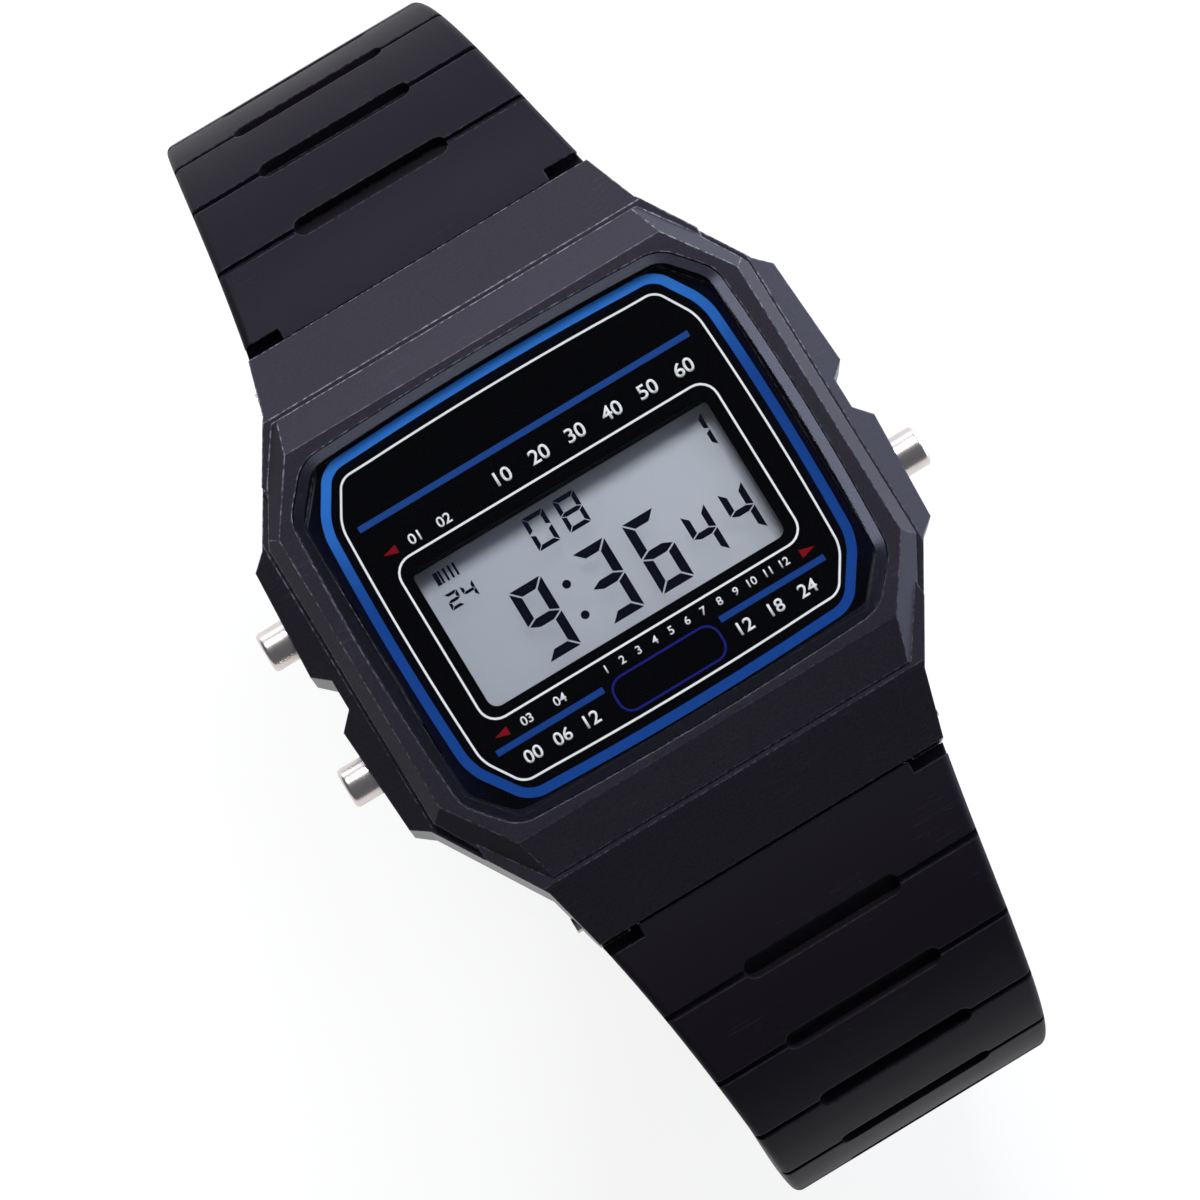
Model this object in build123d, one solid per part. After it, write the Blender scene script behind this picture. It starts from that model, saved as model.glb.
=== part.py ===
from build123d import *
import os
from math import cos, exp, pi, radians, sin

# A digital watch with a resin case, a steel back and two resin strap halves.
# Lengths are millimetres. +X points to 3 o'clock, +Y to 12 o'clock, +Z out of the crystal.
# The pieces are drawn with Z = 0 on the outer face of the case back, and lifted at the end
# so that the strap's tail lies on Z = 0, with the origin below the middle of the case.

# General clearances
running_gap = 0.05
small_gap = 0.12
seam_gap = 0.15
overrun = 2.0

# Heights above the outer face of the case back
crystal_top = 8.5
crystal_proud = 0.3
bezel_top = crystal_top - crystal_proud
back_thickness = 0.8
case_bottom = 0.3
button_z = 4.15

# Movement and display, from which the case takes its size
battery_diameter = 20.0
battery_thickness = 1.6
battery_side_gap = 0.15
battery_offset_x = -1.4
glass_half_x = 10.2
glass_half_y = 5.6
glass_side_room = 1.55
display_y = -0.65
display_window_half_x = 9.2
display_window_half_y = 4.36
display_window_corner = 0.6
glass_thickness = 1.0
polarizer_thickness = 0.15
segment_thickness = 0.03
film_gap = 0.05
reflector_thickness = 0.15
panel_thickness = 0.4
board_thickness = 0.6
board_top = 3.9
contact_room = 0.75

# Module frame and the bay that it sits in
frame_wall = 0.9
module_gap = 0.3
module_corner = 1.8
frame_inner_x = glass_half_x + glass_side_room
frame_inner_y = battery_diameter / 2 + battery_side_gap
frame_half_x = frame_inner_x + frame_wall
frame_half_y = frame_inner_y + frame_wall
bay_half_x = frame_half_x + module_gap
bay_half_y = frame_half_y + module_gap

# Crystal and the ledge under its rim
crystal_thickness = 1.6
gasket_thickness = 0.2
ledge_catch_x = 0.13
ledge_catch_y = 0.45
ledge_seat_x = 0.4
ledge_seat_y = 0.45
face_y = 0.22
crystal_cut_x = 2.1
crystal_cut_y = 2.5
crystal_bow = 0.3
crystal_corner = 2.2
crystal_bevel_run = 0.65
crystal_side_gap = 0.06
window_half_x = bay_half_x - ledge_catch_x
window_half_y = bay_half_y - ledge_catch_y
crystal_half_x = window_half_x + ledge_seat_x
crystal_half_y = window_half_y + ledge_seat_y
crystal_bottom = crystal_top - crystal_thickness
ledge_z = crystal_bottom - gasket_thickness
panel_top = crystal_bottom - film_gap
panel_bottom = panel_top - panel_thickness

# Bezel: a flat top, eight facets and a base
bezel_flat_x = 1.1
bezel_flat_y = 0.82
bezel_side_run = 0.7
bezel_side_drop = 0.9
bezel_end_run = 2.18
bezel_end_drop = 0.69
bezel_corner_run = 0.85
bezel_corner_drop = 0.85
bezel_cut_x = 2.6
bezel_cut_y = 3.82
bezel_base_cut_x = 3.25
bezel_base_cut_y = 5.75
bezel_half_x = crystal_half_x + bezel_flat_x
bezel_half_y = crystal_half_y + bezel_flat_y
bezel_base_x = bezel_half_x + bezel_side_run
bezel_base_y = bezel_half_y + bezel_end_run

# Side guards and the notch between each pair
guard_shelf_run = 0.75
guard_reach = 0.9
guard_end_reach = 0.55
guard_shelf_drop = 1.5
guard_edge_drop = 2.65
guard_flat_y = 8.1
guard_root_y = 8.85
guard_root_inset = 0.4
notch_mouth_half = 1.75
notch_base_half = 0.9
notch_x = bezel_base_x + guard_shelf_run
guard_x = notch_x + guard_reach

# Hoods over the strap ends
hood_crest_ledge = 0.3
hood_crest_drop = 0.9
hood_run = 3.9
hood_end_z = 4.6
hood_end_half_x = 10.75
hood_shoulder_half_x = 11.65
hood_shoulder_back = 3.55
hood_end_wall = 0.95
hood_half_y = bezel_base_y + hood_crest_ledge + hood_run
bottom_chamfer = 0.5

# Spring bars: a tube in the strap, with a sprung plunger at each end
bar_inset = 1.75
bar_z = 2.2
bar_tube_radius = 0.85
bar_tube_bore = 0.6
bar_tube_half = 8.55
bar_mouth_length = 0.4
bar_rod_radius = 0.45
bar_piston_length = 2.5
bar_tip_proud = 0.2
bar_spring_wire = 0.22
bar_spring_turns = 10
bar_y = hood_half_y - bar_inset

# Strap halves
tongue_radius = 1.35
tongue_half_x = 8.9
tongue_side_gap = 0.15
neck_half_x = 8.3
strap_seam = 0.09
strap_start_z = 4.35
strap_start_slope = 5.0
strap_root_width = 21.45
strap_width = 16.6
strap_root_thickness = 3.1
strap_thickness = 2.35
strap_taper_length = 14.0
strap_edge_round = 0.45
strap_notch_half_x = 8.45
strap_notch_depth = 0.7
strap_notch_floor = 1.1
case_bend_radius = 18.1
bend_sections = 10
groove_first = 5.3
groove_pitch = 5.05
groove_count = 5
groove_width = 0.42
groove_depth = 0.35
slot_length = 9.7
slot_width = 1.2
slot_depth = 0.45
slot_slope = 30.0
buckle_bend_radius = 19.5
buckle_bend_turn = 75.0
buckle_straight = 19.0
tail_middle_radius = 120.0
tail_middle_length = 18.5
tail_bend_radius = 22.5
tail_straight = 30.0
tail_tip_round = 7.0
hole_radius = 1.0
hole_pitch = 5.6
hole_count = 9
hole_from_tip = 9.0

# Buckle, its prong and pin, and the keeper loop
buckle_pin_radius = 0.6
buckle_barrel_radius = 1.2
buckle_gap = 0.25
buckle_arm = 1.75
buckle_half_thickness = 1.2
buckle_window = 6.4
buckle_bar = 2.1
buckle_back = 1.3
prong_width = 2.0
prong_thickness = 1.0
prong_slot_gap = 0.2
prong_notch_gap = 0.15
prong_tip_share = 0.85
keeper_wall = 1.1
keeper_length = 5.0
keeper_gap = 0.3
keeper_place = 11.5

# Push buttons
button_y = 4.3
button_radius = 1.175
button_proud = 1.45
button_bore_gap = 0.07
button_stem_radius = 0.5
button_travel = 0.8
button_bore_floor = 0.95
button_spring_wire = 0.2
button_spring_turns = 3
button_edge = 0.25
seal_wire = 0.42
seal_setback = 1.9
clip_thickness = 0.25
clip_radius = 0.95
clip_groove_radius = 0.38
stem_tail = 0.35

# Case back, its screws and its gasket
back_half_x = 14.35
back_end_gap = 0.7
back_cut_x = 3.05
back_cut_y = 5.9
back_side_gap = 0.12
screw_x = 10.3
screw_from_bay = 1.65
screw_radius = 0.42
screw_head_radius = 0.8
screw_head_thickness = 0.35
screw_length = 3.5
screw_slot = 0.25
back_gasket_inset = 0.25
back_gasket_width = 0.6
back_gasket_height = 0.6

# Pieces of the display and the movement
zebra_width = 1.0
zebra_half_length = 9.0
zebra_from_edge = 0.2
chip_half = 2.5
chip_height = 0.7
lamp_length = 1.6
lamp_depth = 0.8
lamp_height = 0.6
guide_thickness = 0.9
guide_length = 7.0
guide_gap = 0.1
quartz_radius = 0.75
quartz_length = 4.8
button_window_half = 1.8
contact_reach = 1.65
contact_thickness = 0.1
contact_base = 0.9
contact_width = 2.0
contact_height = 1.0
module_screw_x = 9.6
module_screw_y = 8.7
module_screw_radius = 0.35
module_screw_head = 0.7
module_screw_head_thickness = 0.3
module_screw_length = 0.8
contact_leaf_half_x = 3.0
contact_leaf_half_y = 1.5
clamp_thickness = 0.15
clamp_half_x = 8.0
clamp_half_y = 5.0
clamp_hook = 1.2
sheet_thickness = 0.1
sheet_radius = 9.0
buzzer_x = 8.6
buzzer_y = -6.9
buzzer_spring_radius = 0.5
buzzer_spring_wire = 0.18
buzzer_spring_turns = 5
piezo_radius = 10.6
piezo_ceramic_radius = 7.5
piezo_x = 0.8
piezo_y = -0.3
piezo_plate_thickness = 0.12
piezo_ceramic_thickness = 0.13

# Figures of the display: the middle of each, its size and its stroke
# Each figure's seven bars run top, upper right, lower right, bottom, lower left, upper left, middle
figure_bars = {
    "0": "1111110", "1": "0110000", "2": "1101101", "3": "1111001", "4": "0110011",
    "6": "1011111", "8": "1111111", "9": "1111011",
}
big_figure = (2.0, 4.34, 0.52)
small_figure = (1.47, 2.9, 0.37)
top_figure = (1.32, 2.0, 0.26)
tiny_figure = (0.76, 0.95, 0.17)
figure_rows = [
    ("9", -4.28, -2.16, big_figure), ("3", -0.31, -2.16, big_figure),
    ("6", 2.8, -2.16, big_figure), ("4", 5.46, -2.66, small_figure),
    ("4", 7.8, -2.66, small_figure), ("0", -1.98, 2.1, top_figure),
    ("8", -0.05, 2.1, top_figure), ("1", 7.95, 2.1, top_figure),
    ("2", -7.9, 1.25, tiny_figure), ("4", -6.95, 1.25, tiny_figure),
]
colon_x = -2.32
colon_ys = (-1.16, -3.09)
colon_radius = 0.24
signal_left = -8.25
signal_top = 3.05
signal_height = 0.75
signal_pitch = 0.3
signal_bars = 5
signal_width = 0.13
bar_gap_share = 0.13

# Values worked out from the sizes above
strap_start_y = hood_half_y + strap_seam
slot_half_x = tongue_half_x + tongue_side_gap
tongue_slot_radius = tongue_radius + 2 * tongue_side_gap
back_half_y = bar_y - tongue_slot_radius - back_end_gap
glass_top = panel_bottom - film_gap - polarizer_thickness - film_gap
glass_bottom = glass_top - glass_thickness
board_bottom = board_top - board_thickness
battery_top = board_bottom - contact_thickness
battery_bottom = battery_top - battery_thickness
board_half_x = frame_inner_x - contact_room
board_half_y = frame_inner_y - seam_gap
shelf_bottom = board_top + seam_gap / 3
shelf_top = glass_bottom - reflector_thickness - film_gap
zebra_y = glass_half_y - zebra_from_edge - zebra_width / 2
guide_x = -glass_half_x - guide_gap - guide_thickness / 2
quartz_x = battery_offset_x + battery_diameter / 2 + quartz_radius + 4 * small_gap


def block(x0, x1, y0, y1, z0, z1):
    """A box between two corners."""
    size = Box(x1 - x0, y1 - y0, z1 - z0)
    return Pos((x0 + x1) / 2, (y0 + y1) / 2, (z0 + z1) / 2) * size


def plate(outline, z0, z1):
    """A flat outline raised from one height to another."""
    return Pos(0, 0, z0) * extrude(outline, z1 - z0)


def rod_x(radius, x0, x1, y, z):
    """A round bar along X."""
    bar = Rot(0, 90, 0) * Cylinder(radius, abs(x1 - x0))
    return Pos((x0 + x1) / 2, y, z) * bar


def mirrored_outline(quarter):
    """A closed outline from its points in one quarter, listed from the X axis to the Y axis."""
    upper = quarter + [(-x, y) for x, y in reversed(quarter)]
    lower = [(-x, -y) for x, y in quarter] + [(x, -y) for x, y in reversed(quarter)]
    return make_face(Polyline(upper + lower, close=True))


def octagon(half_x, half_y, cut_x, cut_y, bow=0, corner=0):
    """A rectangle with cut corners, whose four sides may bow outwards."""
    quarter = [(half_x, half_y - cut_y), (half_x - cut_x, half_y)]
    if bow == 0:
        return mirrored_outline(quarter)
    right, top = quarter
    middles = [(0, half_y + bow), (-half_x - bow, 0), (0, -half_y - bow), (half_x + bow, 0)]
    ends = [
        (top, (-top[0], top[1])),
        ((-right[0], right[1]), (-right[0], -right[1])),
        ((-top[0], -top[1]), (top[0], -top[1])),
        ((right[0], -right[1]), right),
    ]
    edges = Curve()
    for place in range(len(ends)):
        start, end = ends[place]
        edges += ThreePointArc(start, middles[place], end)
        edges += Line(end, ends[(place + 1) % len(ends)][0])
    face = make_face(edges)
    return fillet(face.vertices(), corner) if corner else face


def helix_spring(wire, radius, height, turns, place):
    """A coil spring along +Z from its place, as tall as the height given, wire included."""
    pitch = (height - wire) / turns
    path = Pos(0, 0, wire / 2) * Helix(pitch=pitch, height=height - wire, radius=radius)
    section = Plane(path @ 0, z_dir=path % 0) * Circle(wire / 2)
    return place * sweep(section, path=path, is_frenet=True)


# Case

def bezel_block():
    """The case above its base outline, with the eight facets of the bezel cut away."""
    base = octagon(bezel_base_x, bezel_base_y, bezel_base_cut_x, bezel_base_cut_y)
    solid = plate(base, 0, bezel_top)
    reach = bezel_end_run + overrun
    corner_x = bezel_half_x - bezel_cut_x / 2
    corner_y = bezel_half_y - bezel_cut_y / 2
    corner_turn = Vector(bezel_cut_y, bezel_cut_x, 0).get_angle(Vector(1, 0, 0))
    facets = [(bezel_half_x, 0, 0, bezel_side_run, bezel_side_drop)]
    facets += [(0, bezel_half_y, 90, bezel_end_run, bezel_end_drop)]
    facets += [(corner_x, corner_y, corner_turn, bezel_corner_run, bezel_corner_drop)]
    for x, y, turn, run, drop in facets:
        wedge_points = [(0, 0), (reach, 0), (reach, -reach * drop / run)]
        wedge = make_face(Polyline(wedge_points, close=True))
        wedge = extrude(Plane.XZ * wedge, hood_half_y, both=True)
        wedge = Pos(x, y, bezel_top) * Rot(0, 0, turn) * wedge
        wedges = [wedge, mirror(wedge, about=Plane.XZ)]
        wedges += [mirror(one, about=Plane.YZ) for one in wedges]
        solid -= [Pos(0, face_y) * one for one in wedges]
    return solid


def guard_roof():
    """What lies under the sloping shelves of the side guards."""
    shelf_z = bezel_top - guard_shelf_drop
    edge_z = bezel_top - guard_edge_drop
    shelf_x = bezel_base_x + guard_root_inset / 2
    points = [(-guard_x, 0), (-guard_x, edge_z), (-shelf_x, shelf_z)]
    points += [(shelf_x, shelf_z), (guard_x, edge_z), (guard_x, 0)]
    profile = Plane.XZ * make_face(Polyline(points, close=True))
    return extrude(profile, bezel_base_y - hood_crest_drop, both=True)


def hood_roof():
    """What lies under the 12 o'clock hood, with the lug's end rounded about the spring bar."""
    crest_y = bezel_base_y + hood_crest_ledge
    crest_z = bezel_top - hood_crest_drop
    lug_low = (bar_y, bar_z - bar_inset)
    lug_turn = (bar_y + bar_inset * cos(pi / 4), bar_z - bar_inset * sin(pi / 4))
    lug_end = (hood_half_y, bar_z)
    points = [lug_end, (hood_half_y, hood_end_z), (crest_y, crest_z), (0, crest_z)]
    points += [(0, 0), (back_half_y, 0), lug_low]
    edges = Polyline(points) + ThreePointArc(lug_low, lug_turn, lug_end)
    profile = Plane.YZ * make_face(edges)
    return extrude(profile, hood_shoulder_half_x + overrun, both=True)


def make_case():
    shoulder_y = hood_half_y - hood_shoulder_back
    outline = mirrored_outline([
        (notch_x, notch_base_half),
        (guard_x, notch_mouth_half),
        (notch_x + guard_end_reach, guard_flat_y),
        (notch_x - guard_root_inset, guard_root_y),
        (hood_shoulder_half_x, shoulder_y),
        (hood_end_half_x, hood_half_y),
    ])
    block_solid = plate(outline, case_bottom, bezel_top)
    block_solid = chamfer(block_solid.faces().sort_by(Axis.Z)[0].edges(), bottom_chamfer)
    hood = hood_roof()
    roof = bezel_block() + guard_roof() + hood + mirror(hood, about=Plane.XZ)
    solid = block_solid & roof

    # The seat of the crystal, the window and the module's bay
    seat = octagon(
        crystal_half_x + crystal_side_gap, crystal_half_y + crystal_side_gap,
        crystal_cut_x, crystal_cut_y, crystal_bow, crystal_corner,
    )
    window = octagon(window_half_x, window_half_y, crystal_cut_x, crystal_cut_y)
    bay = octagon(bay_half_x, bay_half_y, module_corner, module_corner)
    solid -= Pos(0, face_y) * plate(seat, ledge_z, bezel_top + overrun)
    solid -= Pos(0, face_y) * plate(window, 0, bezel_top)
    solid -= plate(bay, 0, panel_bottom)

    # The recess of the case back, the gasket groove and the screw holes
    solid -= plate(back_outline(back_side_gap), 0, back_thickness)
    solid -= back_gasket_ring(small_gap / 2, back_gasket_height + small_gap / 2)
    screw_hole = Cylinder(screw_radius + running_gap, 2 * (screw_length + small_gap))
    solid -= [Pos(x, y, back_thickness) * screw_hole for x, y in screw_places()]

    # The slots for the strap ends and the holes for the spring bar tips
    for side in (1, -1):
        y = side * bar_y
        mouth = side * (hood_half_y + overrun)
        low, high = sorted((y, mouth))
        solid -= rod_x(tongue_slot_radius, -slot_half_x, slot_half_x, y, bar_z)
        solid -= block(-slot_half_x, slot_half_x, low, high, -overrun, hood_end_z - hood_end_wall)
        inner = side * (bar_y - tongue_slot_radius)
        low, high = sorted((inner, mouth))
        solid -= block(-slot_half_x, slot_half_x, low, high, -overrun, bar_z)
        solid -= rod_x(bar_rod_radius + running_gap, -guard_x, guard_x, y, bar_z)

    # The bores of the three buttons
    bore = button_radius + button_bore_gap
    stem_bore = button_stem_radius + running_gap
    floor_x = bay_half_x + button_bore_floor
    for side, y in button_places():
        solid -= rod_x(bore, side * floor_x, side * (guard_x + overrun), y, button_z)
        solid -= rod_x(stem_bore, side * (bay_half_x - overrun), side * floor_x, y, button_z)
    return solid


def button_places():
    return [(-1, button_y), (-1, -button_y), (1, -button_y)]


def screw_places():
    y = bay_half_y + screw_from_bay
    return [(side_x * screw_x, side_y * y) for side_x in (1, -1) for side_y in (1, -1)]


def back_outline(grow=0):
    return octagon(back_half_x + grow, back_half_y + grow, back_cut_x, back_cut_y)


def back_gasket_ring(grow, height):
    """The seal between case and back, a loop of square section round the bay."""
    inner = back_gasket_inset - grow
    outer = back_gasket_inset + back_gasket_width + grow
    ring = octagon(bay_half_x + outer, bay_half_y + outer, module_corner, module_corner)
    ring -= octagon(bay_half_x + inner, bay_half_y + inner, module_corner, module_corner)
    return plate(ring, back_thickness, back_thickness + height)


def make_crystal():
    outline = octagon(
        crystal_half_x, crystal_half_y,
        crystal_cut_x, crystal_cut_y, crystal_bow, crystal_corner,
    )
    solid = plate(outline, crystal_bottom, crystal_top)
    top = solid.faces().sort_by(Axis.Z)[-1]
    return Pos(0, face_y) * chamfer(top.edges(), crystal_proud, crystal_bevel_run)


def make_crystal_gasket():
    ring = octagon(
        crystal_half_x - small_gap, crystal_half_y - small_gap,
        crystal_cut_x, crystal_cut_y, crystal_bow, crystal_corner,
    )
    ring -= octagon(
        window_half_x + running_gap, window_half_y + running_gap, crystal_cut_x, crystal_cut_y,
    )
    return Pos(0, face_y) * plate(ring, ledge_z, crystal_bottom)


def make_case_back():
    solid = plate(back_outline(), 0, back_thickness)
    through = Cylinder(screw_radius + running_gap, 2 * (back_thickness + overrun))
    sink = Cylinder(screw_head_radius + small_gap, 2 * (screw_head_thickness + running_gap))
    for x, y in screw_places():
        solid -= Pos(x, y, 0) * through
        solid -= Pos(x, y, 0) * sink
    return solid


def make_back_screws():
    screws = Part()
    for x, y in screw_places():
        head = Pos(0, 0, screw_head_thickness / 2) * Cylinder(screw_head_radius, screw_head_thickness)
        shank = Pos(0, 0, screw_length / 2) * Cylinder(screw_radius, screw_length)
        slot = Box(2 * screw_radius * 2, screw_slot, screw_head_thickness)
        cross = slot + Rot(0, 0, 90) * slot
        screws += Pos(x, y, 0) * (head + shank - cross)
    return screws


# Display and movement

def make_dial_panel():
    outline = octagon(
        window_half_x - small_gap, window_half_y - small_gap, crystal_cut_x, crystal_cut_y,
    )
    opening = RectangleRounded(
        2 * display_window_half_x, 2 * display_window_half_y, display_window_corner,
    )
    opening = Pos(0, display_y) * opening
    return plate(Pos(0, face_y) * outline - opening, panel_bottom, panel_top)


def display_sheet(half_x, half_y, z0, z1):
    return block(-half_x, half_x, display_y - half_y, display_y + half_y, z0, z1)


def figure_outline(figure, width, height, stroke):
    """The lit bars of one figure, as flat outlines about the figure's middle."""
    gap = bar_gap_share * stroke
    x, y = width / 2, height / 2
    top = [(-x + gap, y), (x - gap, y), (x - gap - stroke, y - stroke), (gap + stroke - x, y - stroke)]
    upright = [(x, y - gap), (x, gap), (x - stroke, stroke / 2 + gap), (x - stroke, y - gap - stroke)]
    middle = [(x - gap, 0), (x - gap - stroke, stroke / 2), (gap + stroke - x, stroke / 2)]
    middle += [(gap - x, 0), (gap + stroke - x, -stroke / 2), (x - gap - stroke, -stroke / 2)]
    bars = [
        top, upright, flipped(upright, 1, -1), flipped(top, 1, -1),
        flipped(upright, -1, -1), flipped(upright, -1, 1), middle,
    ]
    lit_bars = [bar for lit, bar in zip(figure_bars[figure], bars) if lit == "1"]
    return [make_face(Polyline(bar, close=True)) for bar in lit_bars]


def flipped(points, sign_x, sign_y):
    return [(sign_x * x, sign_y * y) for x, y in points]


def make_segments():
    base = glass_top + film_gap / 2 - segment_thickness / 2
    solids = []
    for figure, x, y, (width, height, stroke) in figure_rows:
        for outline in figure_outline(figure, width, height, stroke):
            solids.append(Pos(x, y, base) * extrude(outline, segment_thickness))
    for y in colon_ys:
        dot = extrude(Circle(colon_radius), segment_thickness)
        solids.append(Pos(colon_x, y, base) * dot)
    for place in range(signal_bars):
        width = signal_width * (2 if place == 0 else 1)
        bar = extrude(Rectangle(width, signal_height), segment_thickness)
        x = signal_left + width / 2 + place * signal_pitch
        solids.append(Pos(x, signal_top - signal_height / 2, base) * bar)
    return Compound(children=[s.solid() for s in solids])


def make_reflector():
    half_y = zebra_y - zebra_width / 2 - small_gap
    return display_sheet(
        glass_half_x - zebra_from_edge, half_y, glass_bottom - reflector_thickness, glass_bottom,
    )


def make_light_guide():
    z0 = shelf_top + film_gap
    return block(
        guide_x - guide_thickness / 2, guide_x + guide_thickness / 2,
        display_y - guide_length / 2, display_y + guide_length / 2, z0, glass_top,
    )


def make_lamp():
    return block(
        guide_x - lamp_depth / 2, guide_x + lamp_depth / 2,
        display_y - lamp_length / 2, display_y + lamp_length / 2,
        board_top, board_top + lamp_height,
    )


def make_zebras():
    strips = []
    for side in (1, -1):
        y = display_y + side * zebra_y
        strips.append(block(
            -zebra_half_length, zebra_half_length,
            y - zebra_width / 2, y + zebra_width / 2, board_top, glass_bottom,
        ))
    return Compound(children=[s.solid() for s in strips])


def make_frame():
    """The plastic frame: a wall round the movement and a shelf between board and display."""
    outer = octagon(frame_half_x, frame_half_y, module_corner, module_corner)
    inner = octagon(frame_inner_x, frame_inner_y, module_corner, module_corner)
    solid = plate(outer - inner, battery_bottom, panel_bottom)
    solid += plate(inner, shelf_bottom, shelf_top)
    for side in (1, -1):
        y = display_y + side * zebra_y
        room = zebra_width / 2 + small_gap
        solid -= block(
            -zebra_half_length - small_gap, zebra_half_length + small_gap,
            y - room, y + room, board_top, shelf_top + overrun,
        )
    chip_room = chip_half + 2 * small_gap
    solid -= block(-chip_room, chip_room, -chip_room, chip_room, board_top, shelf_top + overrun)
    lamp_room = lamp_length / 2 + small_gap
    solid -= block(
        guide_x - lamp_depth / 2 - small_gap, guide_x + lamp_depth / 2 + small_gap,
        display_y - lamp_room, display_y + lamp_room, board_top, shelf_top + overrun,
    )
    leaf_room = contact_reach + seam_gap
    for side, y in button_places():
        x0, x1 = sorted((side * (frame_inner_x - leaf_room), side * (frame_half_x + overrun)))
        z0 = button_z - clip_radius - seam_gap
        z1 = button_z + clip_radius + seam_gap
        solid -= block(x0, x1, y - button_window_half, y + button_window_half, z0, z1)
    for x, y in module_screw_places():
        solid -= Pos(x, y, shelf_bottom) * Cylinder(
            module_screw_radius + running_gap, 2 * module_screw_length,
        )
    return solid


def module_screw_places():
    return [(module_screw_x, module_screw_y), (-module_screw_x, module_screw_y)]


def make_board():
    outline = octagon(board_half_x, board_half_y, module_corner, module_corner)
    solid = plate(outline, board_bottom, board_top)
    for x, y in module_screw_places():
        solid -= Pos(x, y, board_bottom) * Cylinder(
            module_screw_radius + running_gap, 2 * (board_thickness + overrun),
        )
    return solid


def make_module_screws():
    screws = []
    for x, y in module_screw_places():
        low = board_bottom - module_screw_head_thickness
        head = Cylinder(module_screw_head, module_screw_head_thickness)
        length = board_thickness + module_screw_length - small_gap
        shank = Pos(0, 0, length / 2) * Cylinder(module_screw_radius, length)
        head = Pos(0, 0, -module_screw_head_thickness / 2) * head
        slot = Pos(0, 0, -module_screw_head_thickness)
        slot = slot * Box(2 * module_screw_head, screw_slot, module_screw_head_thickness)
        screw = Pos(x, y, low + module_screw_head_thickness) * (head + shank - slot)
        screws.append(screw)
    return Compound(children=[s.solid() for s in screws])


def make_chip_cover():
    body = block(-chip_half, chip_half, -chip_half, chip_half, board_top, board_top + chip_height)
    top = body.faces().sort_by(Axis.Z)[-1]
    return chamfer(top.edges(), chip_height / 2)


def make_quartz():
    can = Rot(90, 0, 0) * Cylinder(quartz_radius, quartz_length)
    return Pos(quartz_x, 0, board_bottom - quartz_radius) * can


def make_side_contacts():
    """The leaf springs at the board's edge that the button stems press."""
    leaves = []
    for side, y in button_places():
        outer = board_half_x
        base_x = sorted((side * (outer - contact_base), side * outer))
        leaf_x = sorted((side * outer, side * (outer + contact_thickness)))
        half = contact_width / 2
        top = board_top + contact_thickness
        base = block(base_x[0], base_x[1], y - half, y + half, board_top, top)
        leaf = block(leaf_x[0], leaf_x[1], y - half, y + half, board_top, top + contact_height)
        leaves.append(base + leaf)
    return Compound(children=[s.solid() for s in leaves])


def make_battery():
    """The coin cell, with the smaller negative cap towards the board."""
    cap_share = 0.85
    rim_share = 0.8
    radius = battery_diameter / 2
    can_height = battery_thickness * rim_share
    can = Pos(0, 0, can_height / 2) * Cylinder(radius, can_height)
    cap = Pos(0, 0, battery_thickness / 2) * Cylinder(radius * cap_share, battery_thickness)
    return Pos(battery_offset_x, 0, battery_bottom) * (can + cap)


def make_battery_contact():
    return Pos(battery_offset_x, 0, 0) * block(
        -contact_leaf_half_x, contact_leaf_half_x,
        -contact_leaf_half_y, contact_leaf_half_y, battery_top, board_bottom,
    )


def make_battery_clamp():
    """The steel strip over the cell, with a hook up each side to the board."""
    high = battery_bottom
    low = high - clamp_thickness
    strip = block(-clamp_half_x, clamp_half_x, -clamp_half_y, clamp_half_y, low, high)
    window = block(
        -clamp_half_x / 2, clamp_half_x / 2, -clamp_half_y / 2, clamp_half_y / 2, 0, high,
    )
    strip = Pos(battery_offset_x, 0, 0) * (strip - window)
    reach = quartz_x + quartz_radius + small_gap
    arm_y0 = quartz_length / 2 + small_gap
    arm = block(
        battery_offset_x + clamp_half_x, reach + clamp_thickness,
        arm_y0, arm_y0 + clamp_hook, low, high,
    )
    hook = block(
        reach, reach + clamp_thickness, arm_y0, arm_y0 + clamp_hook, low, board_bottom,
    )
    return strip + arm + hook


def make_insulator():
    low = battery_bottom - clamp_thickness - sheet_thickness
    disc = Cylinder(sheet_radius, sheet_thickness)
    return Pos(battery_offset_x, 0, low + sheet_thickness / 2) * disc


def make_piezo():
    plate_disc = Cylinder(piezo_radius, piezo_plate_thickness)
    ceramic = Cylinder(piezo_ceramic_radius, piezo_ceramic_thickness)
    top = back_thickness + piezo_plate_thickness
    disc = Pos(piezo_x, piezo_y, back_thickness + piezo_plate_thickness / 2) * plate_disc
    disc += Pos(piezo_x, piezo_y, top + piezo_ceramic_thickness / 2) * ceramic
    return disc


def make_buzzer_spring():
    low = back_thickness + piezo_plate_thickness + running_gap
    height = board_bottom - running_gap - low
    place = Pos(buzzer_x, buzzer_y, low)
    return helix_spring(
        buzzer_spring_wire, buzzer_spring_radius, height, buzzer_spring_turns, place,
    )


# Buttons

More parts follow.
